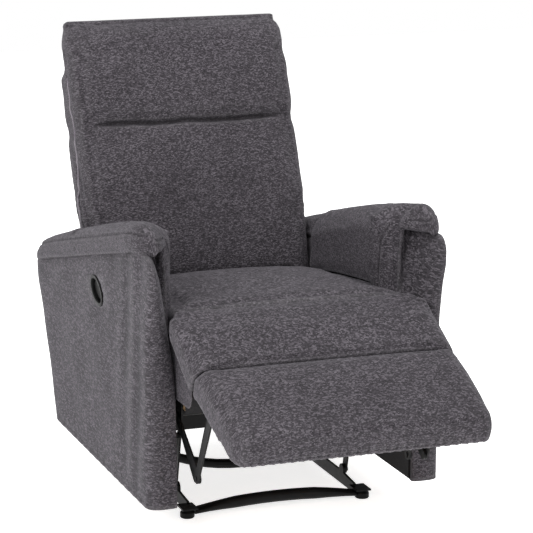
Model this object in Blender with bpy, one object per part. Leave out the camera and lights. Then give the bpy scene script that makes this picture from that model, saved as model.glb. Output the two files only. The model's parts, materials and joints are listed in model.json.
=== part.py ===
"""Handle-released recliner armchair, metres, +Z up, facing -Y, footrest out.

Lengths (y, z) below are measured from the chair's own station line, the middle of the base;
the root empty then puts the middle of the whole footprint on the origin.
"""

import math

import bmesh
import bpy
from mathutils import Matrix, Vector

# Overall
ORIGIN_Y = 0.0722  # moves the station line so that the footprint is centred
GAP = 0.0004  # clearance between pieces that touch
CLEAR = 0.001  # clearance between link layers

# Base
RAIL_X = (0.2050, 0.2115)
RAIL_Y = (-0.190, 0.282)
RAIL_Z = (0.006, 0.037)
FOOT_X = 0.218
FOOT_Y = (-0.213, 0.300)
FOOT_RADIUS = 0.017
FOOT_HEIGHT = 0.020
SUPPORT_FOOT = ((-0.112, 0.042), (0.200, 0.042))  # lower pivots of the support links
SUPPORT_LENGTH = 0.140
SUPPORT_LEAN = math.radians(13.7)
STRETCHER_Y = 0.037

# Mechanism layers, counted outward from the seat rail
SHEET = 0.004
PLATE_X = (0.2615, 0.2615 + SHEET)
INNER_1 = (PLATE_X[0] - CLEAR - SHEET, PLATE_X[0] - CLEAR)
INNER_2 = (INNER_1[0] - CLEAR - SHEET, INNER_1[0] - CLEAR)
OUTER_1 = (PLATE_X[1] + CLEAR, PLATE_X[1] + CLEAR + SHEET)
OUTER_2 = (OUTER_1[1] + CLEAR, OUTER_1[1] + CLEAR + SHEET)
LINK_HALF = 0.0115

# Footrest: hinges and link pivots (y, z)
FLAP_HINGE = Vector((-0.370, 0.474))
CREASE = Vector((-0.512, 0.386))
FOOTREST_SLOPE = math.radians(20.9)
LINK_A = ((-0.2633, 0.270), (-0.3950, 0.155), (-0.5065, 0.3688))
LINK_B = ((-0.2972, 0.270), (-0.4501, 0.170), (-0.5440, 0.3297))
BOARD = 0.010
PAD_DEPTH = 0.0595
FLAP_HALF = 0.287
OTTOMAN_HALF = 0.293
OTTOMAN_LENGTH = 0.274

# Seat
SEAT_HALF = 0.2795
SEAT_FRONT_Y, SEAT_BACK_Y = -0.352, 0.262
SEAT_FRONT_Z, SEAT_BACK_Z = 0.515, 0.442
SEAT_CROWN = 0.036
RAIL_TOP, RAIL_BOTTOM = 0.345, 0.290
SIDE_RAIL_X = (0.236, 0.261)
FRAME_Y = (-0.335, 0.295)
WOOD = 0.0247

# Arms
ARM_IN, ARM_OUT = 0.2910, 0.3540
ARM_FRAME_X = (0.3093, 0.3242)
ARM_FRONT_Y, ARM_FOOT_Z = -0.355, 0.069
ARM_NOSE = 0.035
PAD_IN, PAD_OUT = 0.2520, 0.3670
PAD_RISE = 0.062
DRAPE_Y = (-0.210, 0.245)
ARM_TOP_Y, ARM_TOP_Z, ARM_TOP_SLOPE = -0.255, 0.653, 0.2277
ARM_SHOULDER_Z = 0.658
# The arm's bevelled inner front corner: height, x where it meets the front, then its rear edge (x, y)
ARM_BEVEL = (
    (0.340, 0.2880, 0.2780, -0.345), (0.400, 0.2980, 0.2868, -0.315), (0.483, 0.3140, 0.2887, -0.270),
    (0.590, 0.3330, 0.3040, -0.251), (0.630, 0.3430, 0.3143, -0.239), (0.670, 0.3530, 0.3280, -0.235),
)

# Back
BACK_LEAN = math.radians(23.0)
BACK_FOOT = Vector((0.284, 0.450))  # where the front face meets the seat
BACK_PIVOT = Vector((0.335, 0.385))
BACK_HALF = 0.279
BACK_TOP = 0.662
HEAD_SEAM = 0.395
BACK_PAD = 0.070
BACK_FRAME = 0.022
PANEL_TOP = 0.545

# Handle
HANDLE = Vector((0.039, 0.4935))
HANDLE_TILT = math.radians(20.0)
HANDLE_LONG, HANDLE_SHORT = 0.051, 0.031
HANDLE_FLANGE = 0.0065
CUP_FLOOR = 0.3300
LEVER_LONG, LEVER_SHORT = 0.036, 0.0165
LEVER_DEPTH = 0.3450
CABLE_EXIT = (-0.060, 0.318)  # where the cable leaves the arm towards the side plate
CABLE_RADIUS = 0.0022
CABLE_HOLE = 0.0070

COLOURS = {
    "upholstery": ((0.085, 0.080, 0.088), 0.95, 0.0),
    "lining": ((0.012, 0.012, 0.013), 0.90, 0.0),
    "steel": ((0.010, 0.010, 0.011), 0.38, 0.6),
    "wood": ((0.52, 0.36, 0.21), 0.70, 0.0),
    "plastic": ((0.010, 0.010, 0.010), 0.35, 0.0),
    "spring": ((0.40, 0.40, 0.41), 0.35, 1.0),
}

bodies = {}


def clear_scene():
    for item in list(bpy.data.objects):
        bpy.data.objects.remove(item)


def material(name):
    found = bpy.data.materials.get(name)
    if found:
        return found
    colour, roughness, metallic = COLOURS[name]
    made = bpy.data.materials.new(name)
    made.use_nodes = True
    shader = made.node_tree.nodes["Principled BSDF"]
    shader.inputs["Base Color"].default_value = (*colour, 1)
    shader.inputs["Roughness"].default_value = roughness
    shader.inputs["Metallic"].default_value = metallic
    made.diffuse_color = (*colour, 1)
    return made


# ---------------------------------------------------------------- shapes


def body(name, pivot, parent=None, x=0.0):
    """An empty on the body's joint axis, which the body's pieces hang from."""
    empty = bpy.data.objects.new("pivot_" + name, None)
    empty.empty_display_size = 0.05
    bpy.context.scene.collection.objects.link(empty)
    here = Vector((x, *pivot))
    if parent:
        empty.parent, above = bodies[parent]
        empty.location = here - above
    else:
        empty.location = here + Vector((0, ORIGIN_Y, 0))
    bodies[name] = (empty, here)


def place(name, bm, finish, owner):
    """Makes the mesh an object of that body, with its origin on the body's pivot."""
    bmesh.ops.recalc_face_normals(bm, faces=bm.faces)
    mesh = bpy.data.meshes.new(name)
    empty, here = bodies[owner]
    bm.transform(Matrix.Translation(-here))
    bm.to_mesh(mesh)
    bm.free()
    obj = bpy.data.objects.new(name, mesh)
    mesh.materials.append(material(finish))
    bpy.context.scene.collection.objects.link(obj)
    obj.parent = empty
    return obj


def combine(obj, bm, operation, owner):
    """Adds or cuts a second shape, which stays in the file as a hidden helper."""
    helper = place(f"{obj.name}_{operation.lower()}_{len(obj.modifiers)}", bm, "steel", owner)
    helper.hide_render = True
    helper.display_type = "WIRE"
    change = obj.modifiers.new(operation.title(), "BOOLEAN")
    change.operation = operation
    change.solver = "EXACT"
    change.object = helper


def soften(obj, width, segments=2, angle=35):
    bevel = obj.modifiers.new("Bevel", "BEVEL")
    bevel.width = width
    bevel.segments = segments
    bevel.limit_method = "ANGLE"
    bevel.angle_limit = math.radians(angle)
    obj.data.shade_smooth()
    obj.data.set_sharp_from_angle(angle=math.radians(50))


def loft(rings):
    """A closed skin through rings of equal length, capped at both ends."""
    bm = bmesh.new()
    rows = [[bm.verts.new(point) for point in ring] for ring in rings]
    count = len(rows[0])
    for low, high in zip(rows, rows[1:]):
        for i in range(count):
            j = (i + 1) % count
            bm.faces.new((low[i], low[j], high[j], high[i]))
    bm.faces.new(rows[0])
    bm.faces.new(rows[-1])
    return bm


def prism(outline, x_range):
    """An outline in (y, z), extruded along X."""
    return loft([[(x, y, z) for y, z in outline] for x in x_range])


def box(x_range, y_range, z_range):
    low, high = z_range
    return prism([(y_range[0], low), (y_range[1], low), (y_range[1], high), (y_range[0], high)], x_range)


def circle(centre, radius, steps=16):
    turns = [2 * math.pi * i / steps for i in range(steps)]
    return [(centre[0] + radius * math.cos(t), centre[1] + radius * math.sin(t)) for t in turns]


def hull(points):
    """The convex outline round the points, anticlockwise."""

    def half(ordered):
        chain = []
        for point in ordered:
            while len(chain) > 1 and turn(chain[-2], chain[-1], point) <= 0:
                chain.pop()
            chain.append(point)
        return chain[:-1]

    def turn(a, b, c):
        return (b[0] - a[0]) * (c[1] - a[1]) - (b[1] - a[1]) * (c[0] - a[0])

    ordered = sorted(set(points))
    return half(ordered) + half(ordered[::-1])


def strap(ends, half_width, steps=16):
    """The outline of a flat link with round ends."""
    return hull([point for end in ends for point in circle(end, half_width, steps)])


def side(x_range, sign):
    return tuple(sign * x for x in x_range)


def tube_along_x(height, radius, x_end, y, steps=12, sections=9, flat=None):
    """A tube across the chair whose centre height and half-sizes follow functions of x."""
    rings = []
    for i in range(sections):
        x = x_end * (2 * i / (sections - 1) - 1)
        wide, tall = flat(x) if flat else (radius, radius)
        turns = [2 * math.pi * k / steps for k in range(steps)]
        rings.append([(x, y + wide * math.cos(t), height(x) + tall * math.sin(t)) for t in turns])
    return loft(rings)


def both_sides():
    """The sitter's right arm is at -X and the left one at +X."""
    return (("right", -1), ("left", 1))


# ---------------------------------------------------------------- base


def base_rail(name, sign):
    rear, front = RAIL_Y[1], RAIL_Y[0]
    low, high = RAIL_Z
    outline = [(front, low), (rear, low), (rear, high), (-0.10, high), (front, high - 0.008)]
    rail = place("base_rail_" + name, prism(outline, side(RAIL_X, sign)), "steel", "base")
    for pivot in SUPPORT_FOOT:
        combine(rail, prism(strap([pivot, (pivot[0], 0.025)], 0.013), side(RAIL_X, sign)), "UNION", "base")
    tab = [(STRETCHER_Y, 0.088), (STRETCHER_Y, 0.025)]
    combine(rail, prism(strap(tab, 0.018), side(RAIL_X, sign)), "UNION", "base")
    lug_z = (FOOT_HEIGHT + GAP, FOOT_HEIGHT + 0.0045)
    for y, inward in zip(FOOT_Y, (1, -1)):
        across = side((RAIL_X[0] - 0.0085, FOOT_X + 0.016), sign)
        lug = box(across, (y - inward * 0.018, y + inward * 0.030), lug_z)
        combine(rail, lug, "UNION", "base")


def glide(name, sign, y):
    steps = 20
    rings = []
    for radius, z in ((0.0150, 0), (FOOT_RADIUS, 0.002), (FOOT_RADIUS, 0.013), (0.011, FOOT_HEIGHT)):
        turns = [2 * math.pi * k / steps for k in range(steps)]
        rings.append([(sign * FOOT_X + radius * math.cos(t), y + radius * math.sin(t), z) for t in turns])
    foot = place("glide_" + name, loft(rings), "plastic", "base")
    foot.data.shade_smooth()
    foot.data.set_sharp_from_angle(angle=math.radians(40))


def cross_tubes():
    reach = RAIL_X[0] - GAP

    def pressed(x):
        flat = max(0.0, (abs(x) - 0.10) / (front_reach - 0.10))
        return 0.014 + 0.004 * flat, 0.014 - 0.007 * flat

    front_reach = FOOT_X - FOOT_RADIUS - 0.0015

    def bowed(x):
        return 0.026 - 0.0135 * (x / front_reach) ** 2

    front = tube_along_x(bowed, 0.014, front_reach, -0.208, steps=16, sections=13, flat=pressed)
    place("front_cross_tube", front, "steel", "base").data.shade_smooth()
    rear = tube_along_x(lambda x: 0.035 + 0.050 * (x / reach) ** 2, 0.012, reach, STRETCHER_Y, sections=15)
    place("centre_stretcher", rear, "steel", "base").data.shade_smooth()


def build_base():
    for name, sign in both_sides():
        base_rail(name, sign)
        glide("front_" + name, sign, FOOT_Y[0])
        glide("rear_" + name, sign, FOOT_Y[1])
    cross_tubes()


def support_top(foot):
    lean = SUPPORT_LENGTH * math.sin(SUPPORT_LEAN), SUPPORT_LENGTH * math.cos(SUPPORT_LEAN)
    return (foot[0] - lean[0], foot[1] + lean[1])


def build_support_links():
    """The body stands on four equal links, which swing together on the base rails."""
    inner = RAIL_X[1] + CLEAR
    layer = (inner, inner + SHEET)
    for row, foot in zip(("front", "rear"), SUPPORT_FOOT):
        top = support_top(foot)
        for name, sign in both_sides():
            owner = row + "_support_links"
            link = prism(strap([foot, top], LINK_HALF), side(layer, sign))
            link = place(f"{row}_support_link_{name}", link, "steel", owner)
            axle = prism(circle(top, 0.007, 12), side((layer[0] + 0.001, PLATE_X[0] - GAP), sign))
            combine(link, axle, "UNION", owner)
            rivet = prism(circle(foot, 0.007, 12), side((layer[0] + 0.001, layer[1] + 0.004), sign))
            combine(link, rivet, "UNION", owner)


# ---------------------------------------------------------------- seat body


def side_plate(name, sign):
    """The steel plate that carries the seat, with a leg to each support link and an arm to the back."""
    front_pivot, rear_pivot = support_top(SUPPORT_FOOT[0]), support_top(SUPPORT_FOOT[1])
    bar = [(-0.318, 0.262), (-0.300, 0.254), (0.270, 0.262), (0.285, 0.345), (-0.318, 0.345)]
    plate = place("mechanism_side_plate_" + name, prism(bar, side(PLATE_X, sign)), "steel", "seat")
    legs = (
        strap([front_pivot, (-0.105, 0.290)], 0.016),
        strap([rear_pivot, (0.205, 0.290)], 0.016),
        strap([(0.268, 0.315), tuple(BACK_PIVOT)], 0.0155),
    )
    for leg in legs:
        combine(plate, prism(leg, side(PLATE_X, sign)), "UNION", "seat")


def seat_frame():
    side_y = (FRAME_Y[0] + WOOD + GAP, FRAME_Y[1] - WOOD - GAP)
    rail_z = (RAIL_BOTTOM, RAIL_TOP)
    for name, sign in both_sides():
        rail = place("seat_side_rail_" + name, box(side(SIDE_RAIL_X, sign), side_y, rail_z), "wood", "seat")
        soften(rail, 0.002, 1)
    across = (-SIDE_RAIL_X[1], SIDE_RAIL_X[1])
    for name, start in (("front", FRAME_Y[0]), ("rear", FRAME_Y[1] - WOOD)):
        rail = place(f"seat_{name}_rail", box(across, (start, start + WOOD), rail_z), "wood", "seat")
        soften(rail, 0.002, 1)
    bar = box((-PLATE_X[0] + GAP, PLATE_X[0] - GAP), (-0.118, -0.092), (0.180, 0.218))
    soften(place("seat_cross_bar", bar, "steel", "seat"), 0.004)


def wire(name, points, radius, finish, owner, sides=1):
    empty, here = bodies[owner]
    curve = bpy.data.curves.new(name, "CURVE")
    curve.dimensions = "3D"
    curve.bevel_depth = radius
    curve.bevel_resolution = sides
    curve.use_fill_caps = True
    spline = curve.splines.new("POLY")
    spline.points.add(len(points) - 1)
    for knot, point in zip(spline.points, points):
        knot.co = (*(Vector(point) - here), 1)
    obj = bpy.data.objects.new(name, curve)
    curve.materials.append(material(finish))
    bpy.context.scene.collection.objects.link(obj)
    obj.parent = empty


def sinuous_springs():
    """Zigzag springs from the front rail to the rear rail, in the frame's opening."""
    start, stop = FRAME_Y[0] + WOOD + 0.002, FRAME_Y[1] - WOOD - 0.002
    waves, steps = 9, 6
    for number, x in enumerate((-0.150, 0.0, 0.150), 1):
        points = []
        for i in range(waves * steps + 1):
            part = i / (waves * steps)
            swing = 0.024 * math.sin(2 * math.pi * i / steps)
            points.append((x + swing, start + (stop - start) * part, 0.334))
        wire(f"seat_spring_{number}", points, 0.0018, "spring", "seat")


def seat_top(y):
    part = (y + 0.31) / (SEAT_BACK_Y + 0.31)
    return SEAT_FRONT_Z + (SEAT_BACK_Z - SEAT_FRONT_Z) * part


def seat_cushion():
    rings = []
    low = RAIL_TOP + GAP
    for i in range(9):
        x = SEAT_HALF * (i / 4 - 1)
        crown = SEAT_CROWN * math.sqrt(max(0.0, 1 - (x / (SEAT_HALF + 0.01)) ** 2))
        top = [(y, seat_top(y) + crown * share) for y, share in
               ((-0.325, 0.05), (-0.24, 0.35), (-0.12, 0.8), (0.036, 1.0), (0.16, 0.8), (0.245, 0.35))]
        outline = [(-0.335, low), (SEAT_FRONT_Y, 0.375), (SEAT_FRONT_Y, 0.49), *top,
                   (SEAT_BACK_Y, SEAT_BACK_Z - 0.01), (0.248, low)]
        rings.append([(x, y, z) for y, z in outline])
    soften(place("seat_cushion", loft(rings), "upholstery", "seat"), 0.010, 2, 50)


def seat_side_panel(name, sign):
    """The covered board beside the seat, which shows below the footrest's side edge."""
    x_range = (SEAT_HALF + 0.001, SEAT_HALF + 0.005)
    corner = [(-0.362, 0.300), (-0.352, 0.283), (-0.335, 0.276)]
    outline = [(-0.362, 0.455), *corner, (-0.200, 0.276), (-0.200, 0.455)]
    place("seat_side_panel_" + name, prism(outline, side(x_range, sign)), "upholstery", "seat")


# ---------------------------------------------------------------- arms


def arm_top(y):
    return min(ARM_SHOULDER_Z, ARM_TOP_Z - ARM_TOP_SLOPE * (y - ARM_TOP_Y))


def arm_outline(inset=0.0, front=0.0):
    """The arm from the side, pulled in all round by the inset. A front setback cuts the nose off straight."""
    nose = ARM_FRONT_Y + inset + front
    bottom = ARM_FOOT_Z + inset
    shoulder = [(0, 0.48), (-0.013, 0.54), (-0.028, 0.59), (-0.023, 0.63), (0.005, 0.652)]
    shoulder += [(0.040, ARM_SHOULDER_Z)]
    rear = [(0.600, 0.425), (0.593, 0.399), (0.548, 0.330), (0.497, 0.223), (0.465, 0.140)]
    rear += [(0.431, ARM_FOOT_Z)]
    points = [(nose, bottom)]
    if front:
        points += [(nose, ARM_SHOULDER_Z - inset)]
    else:
        points += [(nose + y, z - inset) for y, z in shoulder]
    points += [(-0.277, ARM_SHOULDER_Z - inset)]
    points += [(0.575 - inset, arm_top(0.575) - inset)]
    points += [(y - inset, max(z, bottom)) for y, z in rear]
    return points


def corner_cutter(sign):
    """What the bevel takes off the arm: nothing at the foot, most at the top, under the pad's front."""
    ahead = -0.400
    rings = []
    for z, x_front, x_rear, y_rear in ARM_BEVEL:
        lean = (x_front - x_rear) / (y_rear - ARM_FRONT_Y)
        edge = x_rear + lean * (y_rear - ahead)
        outline = [(edge, ahead), (x_rear, y_rear), (0.250, y_rear), (0.250, ahead)]
        rings.append([(sign * x, y, z) for x, y in outline])
    return loft(rings)


def arm(name, sign):
    shell = prism(arm_outline(), side((ARM_FRAME_X[1] + GAP, ARM_OUT), sign))
    shell = place("arm_outer_panel_" + name, shell, "upholstery", "seat")
    nose = [(y, z) for y, z in arm_outline() if y < -0.34]
    nose += [(ARM_FRONT_Y + ARM_NOSE, ARM_SHOULDER_Z - 0.003), (ARM_FRONT_Y + ARM_NOSE, ARM_FOOT_Z)]
    combine(shell, prism(nose, side((ARM_IN + 0.003, ARM_FRAME_X[1] + 0.004), sign)), "UNION", "seat")
    if sign < 0:
        inset = HANDLE_FLANGE - 0.001
        mouth = prism(handle_ellipse(HANDLE_LONG - inset, HANDLE_SHORT - inset), (-0.400, -0.300))
        combine(shell, mouth, "DIFFERENCE", "seat")
    inner = arm_outline(0.002, ARM_NOSE + 0.001)
    inner = prism(inner, side((ARM_IN, ARM_FRAME_X[0] - GAP), sign))
    inner = place("arm_inner_panel_" + name, inner, "lining", "seat")
    frame = arm_outline(0.010, ARM_NOSE + 0.001)
    frame = place("arm_frame_" + name, prism(frame, side(ARM_FRAME_X, sign)), "wood", "seat")
    window = [(-0.250, 0.150), (-0.250, 0.560), (0.490, 0.395), (0.400, 0.150)]
    combine(frame, prism(window, side((0.290, 0.340), sign)), "DIFFERENCE", "seat")
    for piece in (shell, inner, frame):
        combine(piece, corner_cutter(sign), "DIFFERENCE", "seat")
    if sign < 0:
        combine(inner, prism(circle(CABLE_EXIT, CABLE_HOLE, 12), (-0.330, -0.270)), "DIFFERENCE", "seat")


def pad_section(y, height, inner, low):
    """The arm pad cut across at y: round on top, hooked over the inside of the arm."""
    base = arm_top(y) + 0.004
    low = min(low, base - 0.003)
    mid = (inner + PAD_OUT) / 2
    reach = (PAD_OUT - inner) / 2
    top = []
    for k in range(9):
        turn = math.pi * k / 8
        x = mid + reach * math.copysign(abs(math.cos(turn)) ** 0.7, math.cos(turn))
        top.append((x, base + 0.012 + (height - 0.012) * math.sin(turn) ** 0.8))
    wall = max(ARM_IN - 0.0006, inner + 0.012)
    return [(PAD_OUT - 0.004, base), *top, (inner, low + 0.010), (inner + 0.006, low),
            (wall - 0.002, low), (wall, low + 0.002), (wall, base)]


def arm_pad(name, sign):
    rings = []
    stations = (
        (-0.356, 0.42, 0.272, False), (-0.348, 0.75, 0.270, False), (-0.320, 0.96, 0.268, False),
        (-0.260, 1.0, 0.264, False), (DRAPE_Y[0] - 0.006, 1.0, 0.260, False), (DRAPE_Y[0], 1.0, 0.254, True),
        (0.000, 1.0, PAD_IN, True), (DRAPE_Y[1], 1.0, 0.256, True), (DRAPE_Y[1] + 0.006, 1.0, 0.278, False),
        (DRAPE_Y[1] + 0.020, 1.0, 0.286, False),
        (0.420, 0.95, 0.287, False), (0.540, 0.80, 0.288, False), (0.572, 0.50, 0.289, False),
    )
    for y, share, inner, hangs in stations:
        low = seat_top(y) + 0.021 if hangs else 9.0
        section = pad_section(y, PAD_RISE * share, inner, low)
        rings.append([(sign * x, y, z) for x, z in section])
    pad = place("arm_pad_" + name, loft(rings), "upholstery", "seat")
    pad.data.shade_smooth()
    pad.data.set_sharp_from_angle(angle=math.radians(50))


def arm_bracket(name, sign):
    bracket = box(side((PLATE_X[1] + GAP, ARM_IN - GAP), sign), (0.010, 0.200), (0.296, 0.334))
    soften(place("arm_bracket_" + name, bracket, "steel", "seat"), 0.003, 1)


def rear_apron():
    apron = box((-ARM_IN + GAP, ARM_IN - GAP), (0.395, 0.413), (0.110, 0.300))
    soften(place("rear_apron", apron, "lining", "seat"), 0.004)


# ---------------------------------------------------------------- handle

def handle_ellipse(long, short, steps=28):
    along = Vector((math.cos(HANDLE_TILT), math.sin(HANDLE_TILT)))
    across = Vector((-along.y, along.x))
    turns = [2 * math.pi * k / steps for k in range(steps)]
    return [tuple(HANDLE + along * long * math.cos(t) + across * short * math.sin(t)) for t in turns]


def handle_bezel():
    """A cup sunk in the arm with a flat oval flange round its mouth."""
    wall = 0.003
    face = ARM_OUT + 0.0035
    steps = (
        (HANDLE_FLANGE, CUP_FLOOR), (HANDLE_FLANGE, ARM_OUT + GAP), (0, ARM_OUT + GAP), (0, ARM_OUT + 0.0020),
        (0.002, face), (HANDLE_FLANGE + 0.001, face), (HANDLE_FLANGE + 0.0025, face - 0.0025),
        (HANDLE_FLANGE + wall, CUP_FLOOR + 0.0025),
    )
    rings = []
    for inset, x in steps:
        rings.append([(-x, y, z) for y, z in handle_ellipse(HANDLE_LONG - inset, HANDLE_SHORT - inset)])
    cup = place("handle_bezel", loft(rings), "plastic", "seat")
    cup.data.shade_smooth()
    cup.data.set_sharp_from_angle(angle=math.radians(40))


def lever_axis():
    """A point on the lever's hinge line, which runs along the cup's rear side."""
    across = Vector((-math.sin(HANDLE_TILT), math.cos(HANDLE_TILT)))
    return HANDLE - across * (LEVER_SHORT - 0.003)


def handle_lever():
    rings = []
    middle = LEVER_DEPTH
    profile = (
        (0.90, middle - 0.0045), (1.0, middle - 0.0025), (1.0, middle + 0.0030),
        (0.94, middle + 0.0050), (0.80, middle + 0.0042),
    )
    for share, x in profile:
        rings.append([(-x, y, z) for y, z in handle_ellipse(LEVER_LONG * share, LEVER_SHORT * share)])
    lever = place("handle_lever", loft(rings), "plastic", "handle")
    lever.data.shade_smooth()
    lever.data.set_sharp_from_angle(angle=math.radians(40))


def release_cable():
    """From the cup, down inside the arm, and in through the lining to the side plate."""
    y0, z0 = HANDLE
    y1, z1 = CABLE_EXIT
    route = (
        (-0.3290, y0, z0 - 0.004), (-0.3235, y0, z0 - 0.006), (-0.3170, y0 - 0.004, z0 - 0.030),
        (-0.3165, y0 - 0.022, z0 - 0.080), (-0.3165, y1 + 0.012, z1 + 0.035),
        (-0.3140, y1 + 0.002, z1 + 0.009), (-0.3060, y1, z1), (-0.2910, y1, z1),
        (-0.2800, y1 - 0.001, z1 + 0.003), (-0.2672, y1 - 0.002, z1 + 0.004),
    )
    knots = [Vector(point) for point in route]
    points = []
    for i in range(len(knots) - 1):
        before, after = knots[max(i - 1, 0)], knots[min(i + 2, len(knots) - 1)]
        for k in range(3):
            points.append(catmull(before, knots[i], knots[i + 1], after, k / 3))
    points.append(knots[-1])
    wire("release_cable", points, CABLE_RADIUS, "plastic", "seat", 2)


def catmull(a, b, c, d, t):
    return 0.5 * (2 * b + (c - a) * t + (2 * a - 5 * b + 4 * c - d) * t**2 + (3 * b - a - 3 * c + d) * t**3)


# ---------------------------------------------------------------- back


def on_back(u, v):
    """From the back's own height u and depth v (forward) to (y, z)."""
    up = Vector((math.sin(BACK_LEAN), math.cos(BACK_LEAN)))
    forward = Vector((-up.y, up.x))
    return tuple(BACK_FOOT + up * u + forward * v)


def back_outline(points):
    return [on_back(u, v) for u, v in points]


def build_back():
    pad = BACK_PAD
    behind = pad + GAP
    rear = behind + BACK_FRAME
    top = PANEL_TOP
    across = (-BACK_HALF, BACK_HALF)
    lower = [(-0.020, 0), (HEAD_SEAM - 0.001, 0), (HEAD_SEAM - 0.001, -pad), (-0.020, -pad)]
    soften(place("back_cushion_lower", prism(back_outline(lower), across), "upholstery", "back"), 0.014, 2)
    head = [(HEAD_SEAM, 0), (BACK_TOP - 0.03, 0), (BACK_TOP, -0.03), (BACK_TOP, -0.085),
            (BACK_TOP - 0.03, -0.115), (top + 0.003, -0.115), (top + 0.003, -pad), (HEAD_SEAM, -pad)]
    soften(place("back_cushion_head", prism(back_outline(head), across), "upholstery", "back"), 0.012, 2)
    wide = 0.2560
    frame_top = top - 0.012
    frame = [(-0.020, -behind), (frame_top, -behind), (frame_top, -rear), (-0.020, -rear)]
    frame = place("back_frame", prism(back_outline(frame), (-wide, wide)), "wood", "back")
    window = [(0.040, -0.050), (frame_top - 0.045, -0.050), (frame_top - 0.045, -0.120), (0.040, -0.120)]
    combine(frame, prism(back_outline(window), (-0.226, 0.226)), "DIFFERENCE", "back")
    panel = [(-0.030, -rear - GAP), (top, -rear - GAP), (top, -0.116), (0.18, -0.152), (-0.030, -0.158)]
    soften(place("back_rear_panel", prism(back_outline(panel), across), "upholstery", "back"), 0.006, 2)
    for name, sign in both_sides():
        heel, stile = on_back(-0.030, -pad - BACK_FRAME / 2), on_back(0.170, -pad - BACK_FRAME / 2)
        link = prism(strap([heel, stile], 0.0102), side(INNER_1, sign))
        link = place("back_bracket_" + name, link, "steel", "back")
        combine(link, prism(strap([tuple(BACK_PIVOT), heel], 0.0102), side(INNER_1, sign)), "UNION", "back")
        rivet = prism(circle(BACK_PIVOT, 0.0075, 12), side((INNER_1[0] - 0.003, INNER_1[1] - 0.001), sign))
        combine(link, rivet, "UNION", "back")


# ---------------------------------------------------------------- footrest


def on_line(origin, slope, s, n):
    """From a distance s down a forward slope and n above it to (y, z)."""
    along = Vector((-math.cos(slope), -math.sin(slope)))
    above = Vector((-math.sin(slope), math.cos(slope)))
    return tuple(origin + along * s + above * n)


def flap_slope():
    run = CREASE - FLAP_HINGE
    return math.atan2(-run.y, -run.x)


def build_flap():
    slope = flap_slope()
    length = (CREASE - FLAP_HINGE).length
    half = BOARD / 2
    board = [on_line(FLAP_HINGE, slope, s, n) for s, n in
             ((0.008, -half), (length - 0.009, -half), (length - 0.009, half), (0.008, half))]
    reach = INNER_2[0] - CLEAR
    soften(place("flap_board", prism(board, (-reach, reach)), "wood", "flap"), 0.0015, 1)
    surface = PAD_DEPTH + half
    crease_top = on_line(CREASE, FOOTREST_SLOPE, -0.001, PAD_DEPTH)
    pad = [on_line(FLAP_HINGE, slope, 0.001, half + GAP),
           on_line(FLAP_HINGE, slope, length - 0.007, half + GAP), crease_top,
           on_line(CREASE, FOOTREST_SLOPE, -0.100, surface), (-0.357, 0.508)]
    soften(place("flap_pad", prism(pad, (-FLAP_HALF, FLAP_HALF)), "upholstery", "flap"), 0.004, 2)


def build_ottoman():
    half = BOARD / 2

    def at(s, n):
        return on_line(CREASE, FOOTREST_SLOPE, s, n)

    board = [at(0.010, -half), at(0.248, -half), at(0.248, half), at(0.010, half)]
    reach = PLATE_X[0] - GAP
    soften(place("ottoman_board", prism(board, (-reach, reach)), "wood", "ottoman"), 0.0015, 1)
    end = OTTOMAN_LENGTH
    pad = [at(0.004, half + GAP), at(0.001, PAD_DEPTH - 0.001), at(0.100, PAD_DEPTH + 0.004),
           at(end - 0.020, PAD_DEPTH), at(end - 0.004, PAD_DEPTH - 0.014), at(end, 0.024),
           at(end - 0.008, half + GAP)]
    soften(place("ottoman_pad", prism(pad, (-OTTOMAN_HALF, OTTOMAN_HALF)), "upholstery", "ottoman"), 0.006, 2)
    for name, sign in both_sides():
        ears = circle(LINK_A[2], 0.0105, 14) + circle(LINK_B[2], 0.0115, 14)
        plate = hull(ears + [at(0.022, half), at(0.220, half), at(0.220, -half - 0.006)])
        place("ottoman_bracket_" + name, prism(plate, side(PLATE_X, sign)), "steel", "ottoman")


def link(name, pair, layer, neighbour, sign, owner, rivets):
    """A flat link with a rivet head, or a pin towards its neighbour, at the named ends."""
    made = place(name, prism(strap(pair, LINK_HALF), side(layer, sign)), "steel", owner)
    for end, far in rivets:
        start = (layer[0] + layer[1]) / 2
        pin = prism(circle(end, 0.0065, 12), side(sorted((start, far)), sign))
        combine(made, pin, "UNION", owner)


def build_links():
    """Two crossing chains on each side hold the footrest: a inside the side plate and b outside it."""
    chains = (("a", LINK_A, INNER_1, INNER_2, -1), ("b", LINK_B, OUTER_1, OUTER_2, 1))
    for chain, (root, elbow, tip), near, far, outward in chains:
        head = far[0] - 0.002 if outward < 0 else far[1] + 0.002
        nearly = 0.0006
        for name, sign in both_sides():
            plate_face = PLATE_X[0] - nearly if outward < 0 else PLATE_X[1] + nearly
            rear_face = near[0] - nearly + 0.0003 if outward < 0 else near[1] + nearly - 0.0003
            rivets = [(root, plate_face), (elbow, rear_face)]
            link(f"link_{chain}_rear_{name}", [root, elbow], near, far, sign, f"links_{chain}_rear", rivets)
            rivets = [(elbow, head), (tip, head)]
            link(f"link_{chain}_front_{name}", [elbow, tip], far, near, sign, f"links_{chain}_front", rivets)
    reach = INNER_1[0] - GAP
    tube = prism(circle(LINK_A[0], 0.010, 14), (-reach, reach))
    place("torque_tube", tube, "steel", "links_a_rear").data.set_sharp_from_angle(angle=math.radians(40))


# ---------------------------------------------------------------- assembly


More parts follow.
